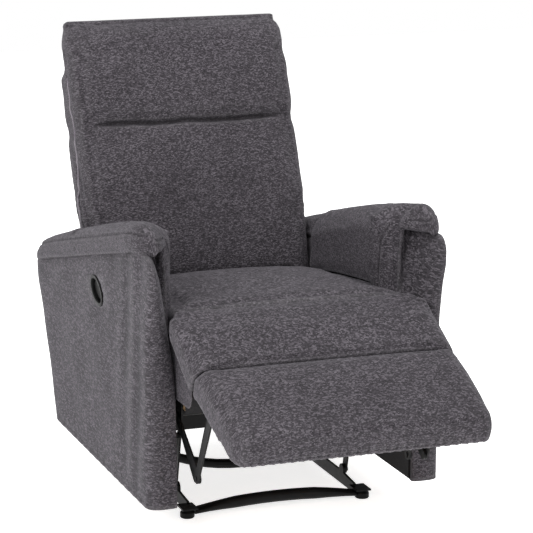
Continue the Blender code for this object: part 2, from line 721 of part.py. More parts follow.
def make_bodies():
    body("base", (0, 0))
    body("front_support_links", SUPPORT_FOOT[0], "base")
    body("rear_support_links", SUPPORT_FOOT[1], "base")
    body("seat", support_top(SUPPORT_FOOT[0]), "front_support_links")
    body("back", BACK_PIVOT, "seat")
    body("handle", lever_axis(), "seat", -LEVER_DEPTH)
    body("flap", FLAP_HINGE, "seat")
    body("ottoman", CREASE, "flap")
    for chain, (root, elbow, _) in (("a", LINK_A), ("b", LINK_B)):
        body(f"links_{chain}_rear", root, "seat")
        body(f"links_{chain}_front", elbow, f"links_{chain}_rear")


def build_seat_body():
    seat_frame()
    sinuous_springs()
    seat_cushion()
    for name, sign in both_sides():
        side_plate(name, sign)
        seat_side_panel(name, sign)
        arm(name, sign)
        arm_pad(name, sign)
        arm_bracket(name, sign)
    rear_apron()
    handle_bezel()
    release_cable()


clear_scene()
make_bodies()
build_base()
build_support_links()
build_seat_body()
handle_lever()
build_back()
build_flap()
build_ottoman()
build_links()
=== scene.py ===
import json
import math

import bmesh
import bpy
import numpy as np
from mathutils import Matrix, Vector
from mathutils.bvhtree import BVHTree


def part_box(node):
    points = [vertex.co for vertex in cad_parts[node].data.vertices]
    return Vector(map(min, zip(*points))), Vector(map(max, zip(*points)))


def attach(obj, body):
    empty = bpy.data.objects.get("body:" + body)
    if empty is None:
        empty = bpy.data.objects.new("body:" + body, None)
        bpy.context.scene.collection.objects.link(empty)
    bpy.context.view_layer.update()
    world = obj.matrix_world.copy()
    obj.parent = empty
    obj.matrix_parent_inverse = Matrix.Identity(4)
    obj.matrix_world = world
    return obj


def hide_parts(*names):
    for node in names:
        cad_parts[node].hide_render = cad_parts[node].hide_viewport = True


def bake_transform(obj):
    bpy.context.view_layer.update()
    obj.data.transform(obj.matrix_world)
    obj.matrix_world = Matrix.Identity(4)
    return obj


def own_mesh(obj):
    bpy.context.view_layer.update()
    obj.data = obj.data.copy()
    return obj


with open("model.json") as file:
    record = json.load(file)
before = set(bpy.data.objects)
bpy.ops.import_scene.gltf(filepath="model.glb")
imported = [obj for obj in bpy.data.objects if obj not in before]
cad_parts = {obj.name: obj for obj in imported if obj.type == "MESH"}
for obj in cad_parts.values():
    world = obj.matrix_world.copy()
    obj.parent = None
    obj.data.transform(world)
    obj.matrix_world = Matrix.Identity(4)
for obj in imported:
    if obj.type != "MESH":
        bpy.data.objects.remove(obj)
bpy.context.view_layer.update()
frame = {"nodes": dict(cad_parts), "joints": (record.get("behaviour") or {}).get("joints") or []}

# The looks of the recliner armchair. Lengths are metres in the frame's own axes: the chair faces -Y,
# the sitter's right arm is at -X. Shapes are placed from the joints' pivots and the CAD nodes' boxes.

PIVOTS = {joint["name"]: Vector(joint["pos_m"]) for joint in frame["joints"]}
STATION_Y = PIVOTS["back_recline"].y - 0.335  # the middle of the base, which the lengths below start from

# Cloth and voxels
VOXEL = 0.0065
PUFF_FRAMES = 20
PRESSURE = 4.0
DRAW_IN = 0.0015  # how far a swelling cover may pull in where it isn't pushed out

# The chair, from the station line
BACK_LEAN = math.radians(23.0)
BACK_FOOT = Vector((0, 0.284, 0.450))
HEAD_SEAM = 0.395
BACK_SIDE = 0.279
FOOT_SLOPE = math.radians(20.9)
PAD_DEPTH = 0.0595

SIDES = (("right", -1), ("left", 1))


def at(x, y, z):
    return Vector((x, y + STATION_Y, z))


def on_back(x, u, v):
    """A point on the back: u up its front face and v forward of it."""
    y = BACK_FOOT.y + u * math.sin(BACK_LEAN) - v * math.cos(BACK_LEAN)
    z = BACK_FOOT.z + u * math.cos(BACK_LEAN) + v * math.sin(BACK_LEAN)
    return at(x, y, z)


# ---------------------------------------------------------------- node materials


class Nodes:
    """A short way to write a node tree."""

    def __init__(self, name):
        self.material = bpy.data.materials.new(name)
        self.material.use_nodes = True
        self.tree = self.material.node_tree
        self.shader = self.tree.nodes["Principled BSDF"]

    def add(self, kind, **inputs):
        node = self.tree.nodes.new(kind)
        for key, value in inputs.items():
            socket = node.inputs[key.replace("_", " ")] if isinstance(key, str) else node.inputs[key]
            self.feed(socket, value)
        return node

    def feed(self, socket, value):
        if isinstance(value, bpy.types.NodeSocket):
            self.tree.links.new(value, socket)
        else:
            socket.default_value = value

    def math(self, operation, a, b=0.0, clamp=False):
        node = self.tree.nodes.new("ShaderNodeMath")
        node.operation = operation
        node.use_clamp = clamp
        self.feed(node.inputs[0], a)
        self.feed(node.inputs[1], b)
        return node.outputs[0]

    def vector(self, source, scale):
        node = self.tree.nodes.new("ShaderNodeVectorMath")
        node.operation = "MULTIPLY"
        self.feed(node.inputs[0], source)
        self.feed(node.inputs[1], scale)
        return node.outputs[0]

    def ramp(self, factor, stops):
        node = self.tree.nodes.new("ShaderNodeValToRGB")
        while len(node.color_ramp.elements) < len(stops):
            node.color_ramp.elements.new(0.5)
        for element, (position, colour) in zip(node.color_ramp.elements, stops):
            element.position = position
            element.color = (*colour, 1)
        self.feed(node.inputs[0], factor)
        return node.outputs[0]

    def mix(self, factor, a, b, blend="MIX"):
        node = self.tree.nodes.new("ShaderNodeMix")
        node.data_type = "RGBA"
        node.blend_type = blend
        self.feed(node.inputs[0], factor)
        self.feed(node.inputs[6], a)
        self.feed(node.inputs[7], b)
        return node.outputs[2]

    def noise(self, vector, scale, detail=2.0, roughness=0.5):
        node = self.add("ShaderNodeTexNoise", Vector=vector, Scale=scale, Detail=detail, Roughness=roughness)
        return node.outputs[0]

    def bump(self, height, strength, distance):
        node = self.add("ShaderNodeBump", Height=height, Strength=strength, Distance=distance)
        self.feed(self.shader.inputs["Normal"], node.outputs[0])

    def surface(self, colour, roughness, **fixed):
        self.feed(self.shader.inputs["Base Color"], colour)
        self.feed(self.shader.inputs["Roughness"], roughness)
        for key, value in fixed.items():
            self.shader.inputs[key.replace("_", " ")].default_value = value
        return self.material


def chenille(name, tone=1.0):
    """Grey melange chenille: short light and dark yarns in rows, on the weave map in metres."""
    n = Nodes(name)
    weave = n.add("ShaderNodeUVMap").outputs[0]
    place = n.add("ShaderNodeTexCoord").outputs["Object"]
    drift = n.vector(n.add("ShaderNodeTexNoise", Vector=place, Scale=38.0, Detail=1.0).outputs[1], (0.004, 0.004, 0.0))
    bent = n.tree.nodes.new("ShaderNodeVectorMath")
    n.feed(bent.inputs[0], weave)
    n.feed(bent.inputs[1], drift)
    rows = n.vector(bent.outputs[0], (250.0, 500.0, 1.0))
    yarn = n.add("ShaderNodeTexVoronoi", Vector=rows, Scale=1.0, Randomness=0.9)
    tint = n.add("ShaderNodeSeparateColor", Color=yarn.outputs["Color"]).outputs[0]
    fine = n.noise(n.vector(bent.outputs[0], (430.0, 800.0, 1.0)), 1.0, 2.0, 0.6)
    streak = n.noise(n.vector(bent.outputs[0], (80.0, 260.0, 1.0)), 1.0, 4.0, 0.75)
    patch = n.noise(place, 7.0, 3.0, 0.55)
    level = n.math("ADD", n.math("MULTIPLY", tint, 0.52), n.math("MULTIPLY", streak, 0.38))
    level = n.math("ADD", level, n.math("MULTIPLY", n.math("SUBTRACT", fine, 0.5), 0.55))
    level = n.math("ADD", level, n.math("MULTIPLY", n.math("SUBTRACT", patch, 0.5), 0.16))
    dark, middle, light = (0.004, 0.0031, 0.0043), (0.030, 0.0258, 0.0310), (0.140, 0.127, 0.143)
    scaled = [tuple(tone * c for c in colour) for colour in (dark, middle, light)]
    colour = n.ramp(level, ((0.10, scaled[0]), (0.46, scaled[1]), (0.92, scaled[2])))
    # Convex places are lightened as wear; sunken places and seams are darkened, partly as dust and partly as painted
    # shade.
    wear_and_shade = n.add("ShaderNodeAttribute")
    wear_and_shade.attribute_name = "wear_and_shade"
    raised = n.math("MULTIPLY", n.math("MAXIMUM", wear_and_shade.outputs["Fac"], 0.0), 0.22, True)
    sunken_dust_and_shade = n.math("MULTIPLY", n.math("MAXIMUM", n.math("MULTIPLY", wear_and_shade.outputs["Fac"], -1.0), 0.0), 0.55, True)
    colour = n.mix(raised, colour, (0.13 * tone, 0.125 * tone, 0.13 * tone, 1.0))
    colour = n.mix(sunken_dust_and_shade, colour, (0.012, 0.011, 0.012, 1.0))
    height = n.math("SUBTRACT", fine, yarn.outputs["Distance"])
    n.bump(height, 0.55, 0.0011)
    rough = n.math("ADD", 0.80, n.math("MULTIPLY", tint, 0.18))
    return n.surface(colour, rough, Specular_IOR_Level=0.25, Sheen_Weight=0.07, Sheen_Roughness=0.45,
                     Sheen_Tint=(0.80, 0.78, 0.86, 1.0))


def lining(name):
    """Thin black non-woven cloth, pressed with a fine dimple."""
    n = Nodes(name)
    place = n.add("ShaderNodeTexCoord").outputs["Object"]
    dimple = n.add("ShaderNodeTexVoronoi", Vector=place, Scale=420.0).outputs["Distance"]
    patch = n.noise(place, 22.0, 3.0)
    colour = n.ramp(n.math("ADD", n.math("MULTIPLY", dimple, 0.5), n.math("MULTIPLY", patch, 0.5)),
                    ((0.2, (0.005, 0.005, 0.0055)), (0.8, (0.022, 0.021, 0.023))))
    n.bump(dimple, 0.4, 0.0006)
    return n.surface(colour, n.math("ADD", 0.78, n.math("MULTIPLY", patch, 0.2)), Specular_IOR_Level=0.25)


def painted_steel(name):
    """Black semi-gloss paint with a slight orange peel, rubbed thin here and there."""
    n = Nodes(name)
    place = n.add("ShaderNodeTexCoord").outputs["Object"]
    peel = n.noise(place, 900.0, 2.0)
    cloud = n.noise(place, 30.0, 4.0, 0.6)
    rub = n.math("SUBTRACT", n.noise(place, 160.0, 5.0, 0.7), 0.66, True)
    colour = n.ramp(cloud, ((0.3, (0.0022, 0.0022, 0.0024)), (0.7, (0.006, 0.006, 0.0065))))
    colour = n.mix(n.math("MULTIPLY", rub, 3.0, True), colour, (0.05, 0.05, 0.052, 1.0))
    n.bump(peel, 0.25, 0.0004)
    return n.surface(colour, n.math("ADD", 0.34, n.math("MULTIPLY", cloud, 0.28)), Specular_IOR_Level=0.14)


def moulded_plastic(name):
    """Black satin moulding with a fine spark-eroded grain."""
    n = Nodes(name)
    place = n.add("ShaderNodeTexCoord").outputs["Object"]
    grain = n.noise(place, 1400.0, 3.0, 0.6)
    smear = n.noise(place, 45.0, 3.0)
    colour = n.ramp(smear, ((0.3, (0.0020, 0.0020, 0.0020)), (0.75, (0.0055, 0.0055, 0.0055))))
    n.bump(grain, 0.3, 0.0003)
    return n.surface(colour, n.math("ADD", 0.34, n.math("MULTIPLY", smear, 0.3)), Specular_IOR_Level=0.12)


def timber(name):
    """Planed softwood and plywood, with grain along the chair's width."""
    n = Nodes(name)
    place = n.add("ShaderNodeTexCoord").outputs["Object"]
    grain = n.noise(n.vector(place, (3.0, 60.0, 60.0)), 2.0, 5.0, 0.65)
    pores = n.noise(n.vector(place, (14.0, 300.0, 300.0)), 2.0, 3.0, 0.6)
    colour = n.ramp(grain, ((0.25, (0.30, 0.17, 0.08)), (0.5, (0.50, 0.33, 0.18)), (0.75, (0.62, 0.45, 0.28))))
    colour = n.mix(n.math("MULTIPLY", pores, 0.35), colour, (0.22, 0.12, 0.06, 1.0))
    n.bump(pores, 0.35, 0.0006)
    return n.surface(colour, n.math("ADD", 0.5, n.math("MULTIPLY", pores, 0.35)))


def drawn_wire(name):
    """Bright drawn steel wire with die lines and a few dull spots."""
    n = Nodes(name)
    place = n.add("ShaderNodeTexCoord").outputs["Object"]
    lines = n.noise(n.vector(place, (8.0, 900.0, 900.0)), 1.0, 2.0)
    spots = n.noise(place, 120.0, 4.0, 0.65)
    colour = n.ramp(spots, ((0.35, (0.16, 0.15, 0.14)), (0.6, (0.42, 0.42, 0.43))))
    n.bump(lines, 0.2, 0.0002)
    return n.surface(colour, n.math("ADD", 0.22, n.math("MULTIPLY", spots, 0.35)), Metallic=1.0)


FABRIC = chenille("chenille_grey")
# A copy of the fabric three times lighter, used on the back's side welts as a painted highlight along the piping.
PAINTED_HIGHLIGHT_WELT = chenille("chenille_painted_highlight", 3.0)
FINISHES = {
    "upholstery": FABRIC,
    "lining": lining("black_lining"),
    "black_steel": painted_steel("black_paint"),
    "wood_frame": timber("frame_timber"),
    "spring_steel": drawn_wire("spring_wire"),
    "black_plastic": moulded_plastic("black_moulding"),
}


def finish_of(node):
    """The record's slot for a CAD node, by the node's name."""
    words = (
        ("arm_inner_panel", "lining"), ("rear_apron", "lining"), ("seat_side_rail", "wood_frame"),
        ("seat_front_rail", "wood_frame"), ("seat_rear_rail", "wood_frame"), ("flap_board", "wood_frame"),
        ("ottoman_board", "wood_frame"), ("back_frame", "wood_frame"), ("arm_frame", "wood_frame"),
        ("seat_spring", "spring_steel"), ("glide", "black_plastic"), ("handle", "black_plastic"),
        ("release_cable", "black_plastic"), ("arm_", "black_steel"), ("mechanism", "black_steel"),
    )
    return next((slot for start, slot in words if node.startswith(start)), "black_steel")


def dress_cad_nodes():
    for name, node in frame["nodes"].items():
        node.data.materials.clear()
        node.data.materials.append(FINISHES[finish_of(name)])


# ---------------------------------------------------------------- mesh work


def new_object(name, mesh):
    obj = bpy.data.objects.new(name, mesh)
    bpy.context.scene.collection.objects.link(obj)
    return obj


def copied(name, *nodes):
    """A new closed mesh from the CAD nodes' own shapes."""
    bm = bmesh.new()
    for node in nodes:
        bm.from_mesh(frame["nodes"][node].data)
    bmesh.ops.remove_doubles(bm, verts=bm.verts, dist=1e-5)
    mesh = bpy.data.meshes.new(name)
    bm.to_mesh(mesh)
    bm.free()
    return new_object(name, mesh)


def lofted(name, rings):
    """A closed skin through rings of equal length, capped at both ends."""
    bm = bmesh.new()
    rows = [[bm.verts.new(point) for point in ring] for ring in rings]
    count = len(rows[0])
    for low, high in zip(rows, rows[1:]):
        for i in range(count):
            j = (i + 1) % count
            bm.faces.new((low[i], low[j], high[j], high[i]))
    bm.faces.new(rows[0])
    bm.faces.new(rows[-1])
    bmesh.ops.recalc_face_normals(bm, faces=bm.faces)
    mesh = bpy.data.meshes.new(name)
    bm.to_mesh(mesh)
    bm.free()
    return new_object(name, mesh)


def settle(obj):
    """Applies the modifiers."""
    graph = bpy.context.evaluated_depsgraph_get()
    mesh = bpy.data.meshes.new_from_object(obj.evaluated_get(graph))
    obj.modifiers.clear()
    obj.data = mesh
    return obj


def remesh(obj, size=VOXEL, smooth=6):
    change = obj.modifiers.new("Remesh", "REMESH")
    change.mode = "VOXEL"
    change.voxel_size = size
    if smooth:
        relax = obj.modifiers.new("Smooth", "SMOOTH")
        relax.factor = 0.5
        relax.iterations = smooth
    return settle(obj)


def points_of(obj):
    co = np.empty(len(obj.data.vertices) * 3, np.float32)
    obj.data.vertices.foreach_get("co", co)
    return co.reshape(-1, 3).astype(float)


def normals_of(obj):
    normals = np.empty(len(obj.data.vertices) * 3, np.float32)
    obj.data.vertices.foreach_get("normal", normals)
    return normals.reshape(-1, 3).astype(float)


def set_points(obj, co):
    obj.data.vertices.foreach_set("co", co.astype(np.float32).ravel())
    obj.data.update()


def puff(obj, cap, pinned=None, pressure=PRESSURE, stiffness=8.0):
    """Swells the cover as cloth under pressure. A point moves at most cap, and pinned ones stay."""
    before = points_of(obj)
    cloth = obj.modifiers.new("Cloth", "CLOTH")
    settings = cloth.settings
    settings.quality = 4
    settings.mass = 0.3
    settings.tension_stiffness = stiffness
    settings.compression_stiffness = stiffness
    settings.bending_stiffness = 0.6
    settings.use_pressure = True
    settings.uniform_pressure_force = pressure
    settings.effector_weights.gravity = 0
    cloth.collision_settings.use_collision = False
    cloth.point_cache.frame_end = PUFF_FRAMES
    if pinned is not None:
        group = obj.vertex_groups.new(name="pinned")
        group.add([int(i) for i in np.flatnonzero(pinned(before))], 1.0, "REPLACE")
        settings.vertex_group_mass = "pinned"
    for step in range(1, PUFF_FRAMES + 1):
        bpy.context.scene.frame_set(step)
    outward = normals_of(obj)
    settle(obj)
    moved = points_of(obj) - before
    out = np.einsum("ij,ij->i", moved, outward)
    moved += outward * (np.maximum(out, -DRAW_IN) - out)[:, None]
    far = np.linalg.norm(moved, axis=1, keepdims=True)
    set_points(obj, before + moved * np.minimum(1.0, cap / np.maximum(far, 1e-9)))
    obj.vertex_groups.clear()
    bpy.context.scene.frame_set(1)
    return obj


def refine(obj):
    """One subdivision."""
    change = obj.modifiers.new("Subdivision", "SUBSURF")
    change.levels = change.render_levels = 1
    return settle(obj)


def near_path(co, path):
    """Each point's distance to a polyline, and how far along it the nearest place is."""
    best = np.full(len(co), 1e9)
    along = np.zeros(len(co))
    run = 0.0
    for start, end in zip(path, path[1:]):
        a, d = np.array(start), np.array(end) - np.array(start)
        length = np.linalg.norm(d)
        t = np.clip((co - a) @ d / max(length**2, 1e-12), 0, 1)
        gap = np.linalg.norm(co - a - t[:, None] * d, axis=1)
        closer = gap < best
        best[closer] = gap[closer]
        along[closer] = run + t[closer] * length
        run += length
    return best, along


def seam(obj, path, depth=0.0035, width=0.004, pucker=0.0008, pitch=0.026, shoulder=0.0, taper=0.0):
    """Sews a groove along the path, with small puckers and a raised shoulder on both sides."""
    co, normals = points_of(obj), normals_of(obj)
    gap, along = near_path(co, path)
    if taper:
        depth = depth * np.clip(np.minimum(along, along.max() - along) / taper, 0, 1)
    groove = -depth * np.exp(-((gap / width) ** 2))
    lift = shoulder * np.exp(-(((gap - 2.2 * width) / width) ** 2))
    wave = np.sin(2 * math.pi * along / pitch) + 0.6 * np.sin(2 * math.pi * along / (pitch * 0.37) + 1.3)
    ripple = pucker * wave * np.exp(-((gap / (5 * width)) ** 2))
    set_points(obj, co + normals * (groove + lift + ripple)[:, None])
    return obj


def mark_wear_and_shade(obj, reach=0.0011, passes=8):
    """Stores where the surface stands out, which rubs pale as wear, or sinks in, which is darkened as partly dust and
    partly painted shade.
    """
    co, normals = points_of(obj), normals_of(obj)
    ends = np.empty(len(obj.data.edges) * 2, np.int32)
    obj.data.edges.foreach_get("vertices", ends)
    a, b = ends.reshape(-1, 2).T
    count = np.bincount(ends, minlength=len(co)).astype(float)[:, None]
    soft = co.copy()
    for _ in range(passes):
        total = np.zeros_like(soft)
        for k in range(3):
            total[:, k] = np.bincount(a, soft[b, k], len(co)) + np.bincount(b, soft[a, k], len(co))
        soft = 0.4 * soft + 0.6 * total / np.maximum(count, 1)
    out = np.einsum("ij,ij->i", co - soft, normals) / reach
    wear_and_shade = obj.data.attributes.new("wear_and_shade", "FLOAT", "POINT")
    wear_and_shade.data.foreach_set("value", np.clip(out, -1, 1).astype(np.float32))


def weave_map(obj, across, along, grain=(1.0, 1.0)):
    """Lays the weave over the piece in metres, as cut cloth with its rows along across."""
    a, b = Vector(across).normalized(), Vector(along).normalized()
    axes = np.array([a, b, a.cross(b)])
    mesh = obj.data
    layer = mesh.uv_layers.get("weave") or mesh.uv_layers.new(name="weave")
    count = len(mesh.polygons)
    normal = np.empty(count * 3, np.float32)
    mesh.polygons.foreach_get("normal", normal)
    facing = np.abs(normal.reshape(-1, 3) @ axes.T).argmax(axis=1)
    size = np.empty(count, np.int32)
    mesh.polygons.foreach_get("loop_total", size)
    face_of_loop = np.repeat(np.arange(count), size)
    vertex = np.empty(len(mesh.loops), np.int32)
    mesh.loops.foreach_get("vertex_index", vertex)
    flat = points_of(obj)[vertex] @ axes.T
    turn = facing[face_of_loop]
    u = np.where(turn == 0, flat[:, 2], flat[:, 0])
    v = np.where(turn == 1, flat[:, 2], flat[:, 1])
    u, v = (np.where(turn == 2, side * scale, side) for side, scale in ((u, grain[0]), (v, grain[1])))
    layer.data.foreach_set("uv", np.stack([u, v], 1).astype(np.float32).ravel())


def upholster(obj, across, along, fill, *nodes, grain=(1.0, 1.0)):
    """Finishes a padded piece: smooth shading, wear and painted shade, weave, material, and hides the CAD parts it
    stands for.
    """
    mark_wear_and_shade(obj)
    weave_map(obj, across, along, grain)
    obj.data.shade_smooth()
    obj.data.materials.clear()
    obj.data.materials.append(FABRIC)
    if nodes:
        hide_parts(*nodes)
    return obj


def smooth_path(points, steps=6):
    """A Catmull-Rom curve through the points."""
    knots = [Vector(point) for point in points]
    made = []
    for i in range(len(knots) - 1):
        a, b = knots[max(i - 1, 0)], knots[i]
        c, d = knots[i + 1], knots[min(i + 2, len(knots) - 1)]
        for k in range(steps):
            t = k / steps
            made.append(0.5 * (2 * b + (c - a) * t + (2 * a - 5 * b + 4 * c - d) * t**2
                               + (3 * b - a - 3 * c + d) * t**3))
    made.append(knots[-1])
    return made


def snapped(obj, path, lift=0.0):
    """The path laid on the surface of the piece."""
    bm = bmesh.new()
    bm.from_mesh(obj.data)
    tree = BVHTree.FromBMesh(bm)
    bm.free()
    made = []
    for point in path:
        place, normal, _, _ = tree.find_nearest(point)
        made.append(place + normal * lift)
    return made


def welt(name, path, radius, body, material=None):
    """A covered cord sewn into a seam."""
    curve = bpy.data.curves.new(name, "CURVE")
    curve.dimensions = "3D"
    spline = curve.splines.new("POLY")
    spline.points.add(len(path) - 1)
    for point, place in zip(spline.points, path):
        point.co = (*place, 1)
    curve.bevel_depth = radius
    curve.bevel_resolution = 3
    curve.use_fill_caps = True
    guide = new_object(name + "_guide", curve)
    graph = bpy.context.evaluated_depsgraph_get()
    obj = new_object(name, bpy.data.meshes.new_from_object(guide.evaluated_get(graph)))
    bpy.data.objects.remove(guide)
    weave_map(obj, (1, 0, 0), (0, 0, 1))
    mark_wear_and_shade(obj)
    obj.data.shade_smooth()
    obj.data.materials.clear()
    obj.data.materials.append(material or FABRIC)
    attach(obj, body)
    return obj


def swell(obj, centre, radii, amount, direction):
    """Moves the surface along a direction within a soft ellipsoid."""
    co = points_of(obj)
    share = ((co - np.array(centre)) / np.array(radii)) ** 2
    weight = np.exp(-share.sum(axis=1))
    set_points(obj, co + weight[:, None] * amount * np.array(direction))
    return obj


# ---------------------------------------------------------------- the back


UP_BACK = Vector((0, math.sin(BACK_LEAN), math.cos(BACK_LEAN)))
PANEL_TOP = 0.545
FRAME_SIDE = 0.2575  # the wood frame's half width, with a gap
CREASE_END = 0.243


def eased(value, stops):
    """Smooth interpolation through (position, value) stops."""
    for (a, low), (b, high) in zip(stops, stops[1:]):
        if value <= b:
            t = min(max((value - a) / (b - a), 0.0), 1.0)
            return low + (high - low) * t * t * (3 - 2 * t)
    return stops[-1][1]


def linear(value, stops):
    return float(np.interp(value, [a for a, _ in stops], [b for _, b in stops]))


def back_width(u):
    wide = linear(u, ((-0.02, 0.2770), (0.12, 0.2820), (0.20, 0.2875), (0.33, 0.2905), (0.395, 0.2880),
                      (0.46, 0.2910), (0.56, 0.2885), (0.64, 0.2860), (0.676, 0.2800)))
    return wide + 0.0014 * math.sin(u * 2 * math.pi / 0.085)


def back_front(u, x, wide):
    """How far the front of the back stands forward of its plane."""
    across = 1 - 0.35 * abs(x / wide) ** 4
    lumbar = 0.022 * math.sin(math.pi * min(max(u / HEAD_SEAM, 0.02), 0.98)) ** 0.4
    head = eased(u, ((0.395, 0.006), (0.415, 0.023), (0.52, 0.027), (0.620, 0.018), (0.652, 0.0), (0.676, -0.030)))
    return (lumbar if u < HEAD_SEAM else head) * (across if u < 0.60 else 1) - (0.004 if u >= 0.60 else 0) * (1 - across)


def back_section(u):
    """The cushion cut across at u, rebated at its back edge around the wood frame."""
    wide = back_width(u)
    corner = 0.019
    ring = []
    for k in range(25):
        x = -math.cos(math.pi * k / 24) * wide
        reach = min(1.0, (wide - abs(x)) / corner)
        round_off = corner * (1 - math.sqrt(1 - (1 - reach) ** 2))
        ring.append(on_back(x, u, back_front(u, x, wide) - round_off))
    rear = ((wide, -0.0875), (wide - 0.004, -0.0915), (FRAME_SIDE, -0.0915), (FRAME_SIDE, -0.0690))
    if u > PANEL_TOP + 0.003:
        rear = ((wide, -0.040), (wide - 0.008, -0.075), (wide - 0.024, -0.102), (wide - 0.046, -0.115))
    top_cut = 0.030 * max(0.0, (u - 0.645) / 0.031)
    for x, v in (*rear, *[(-x, v) for x, v in reversed(rear)]):
        ring.append(on_back(x, u, v + top_cut))
    return ring


def side_seam(u):
    """How far behind the front the cushion's side seam runs."""
    return linear(u, ((0.0, -0.070), (0.12, -0.052), (0.25, -0.026), (0.53, -0.018))) - 0.003 * math.sin(17 * u)


def build_back():
    heights = [-0.018, 0.0, 0.05, 0.10, 0.15, 0.20, 0.25, 0.30, 0.34, 0.37, 0.385, 0.393, 0.397, 0.405, 0.42,
               0.44, 0.47, 0.50, 0.53, 0.547, 0.549, 0.57, 0.60, 0.63, 0.652, 0.666, 0.676]
    pad = lofted("back_cushion", [back_section(u) for u in heights])
    pad = puff(remesh(pad, 0.006, smooth=5), 0.012)
    refine(pad)
    slack = (0.0, 0.0022, -0.0012, 0.0015, -0.0020, 0.0008, 0.0)
    crease = [on_back(CREASE_END * (i / 3 - 1), HEAD_SEAM + slack[i] * 1.5, 0.0) for i in range(7)]
    crease = snapped(pad, smooth_path(crease, 8))
    seam(pad, crease, 0.0125, 0.0050, 0.0004, 0.090, 0.0, taper=0.05)
    for sign in (-1, 1):
        edge = [on_back(sign * 0.320, u, -0.026) for u in np.linspace(0.0, 0.60, 24)]
        seam(pad, snapped(pad, edge), 0.0022, 0.0035, 0.0009, 0.048)
    upholster(pad, (1, 0, 0), UP_BACK, 0.7, "back_cushion_head", "back_cushion_lower")
    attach(pad, "back")
    panel = puff(remesh(copied("back_outer_panel", "back_rear_panel"), smooth=8), 0.006)
    co = points_of(panel)
    co[:, 0] *= 0.975
    set_points(panel, co)
    refine(panel)
    middle = [on_back(0.0, u, -0.200) for u in np.linspace(0.0, 0.52, 20)]
    seam(panel, snapped(panel, middle), 0.0022, 0.004, 0.0006, 0.03)
    upholster(panel, (1, 0, 0), UP_BACK, 0.4, "back_rear_panel")
    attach(panel, "back")
    for name, sign in SIDES:
        path = snapped(pad, [on_back(sign * 0.320, u, side_seam(u)) for u in np.linspace(0.0, 0.530, 40)])
        # The side welts take the lighter copy of the fabric: a painted highlight.
        welt("back_side_welt_" + name, path, 0.0026, "back", PAINTED_HIGHLIGHT_WELT)
    top = [on_back(x, 0.5435, -0.1165) for x in np.linspace(-0.272, 0.272, 20)]
    welt("back_top_welt", top, 0.0026, "back")


# ---------------------------------------------------------------- the seat and footrest


CREASE = PIVOTS["ottoman_fold"]
HINGE = PIVOTS["footrest_fold"]
RIM = 0.279  # outside this half width the footrest pads hang down past the links


def on_foot(s, n):
    """(y, z) at s forward of the crease and n above the footrest's line."""
    return (CREASE.y - s * math.cos(FOOT_SLOPE) - n * math.sin(FOOT_SLOPE),
            CREASE.z - s * math.sin(FOOT_SLOPE) + n * math.cos(FOOT_SLOPE))


def build_seat():
    seat = remesh(copied("seat_pad", "seat_cushion"), smooth=8)
    co = points_of(seat)
    lip = np.clip((STATION_Y - 0.300 - co[:, 1]) / 0.020, 0, 1) * (co[:, 2] > 0.42)
    co[:, 2] -= 0.016 * lip * lip
    set_points(seat, co)
    refine(puff(seat, 0.009, pinned=lambda at_rest: at_rest[:, 2] < 0.36))
    upholster(seat, (1, 0, 0), (0, 1, 0), 0.6, "seat_cushion", grain=(0.9, 0.42))
    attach(seat, "seat")


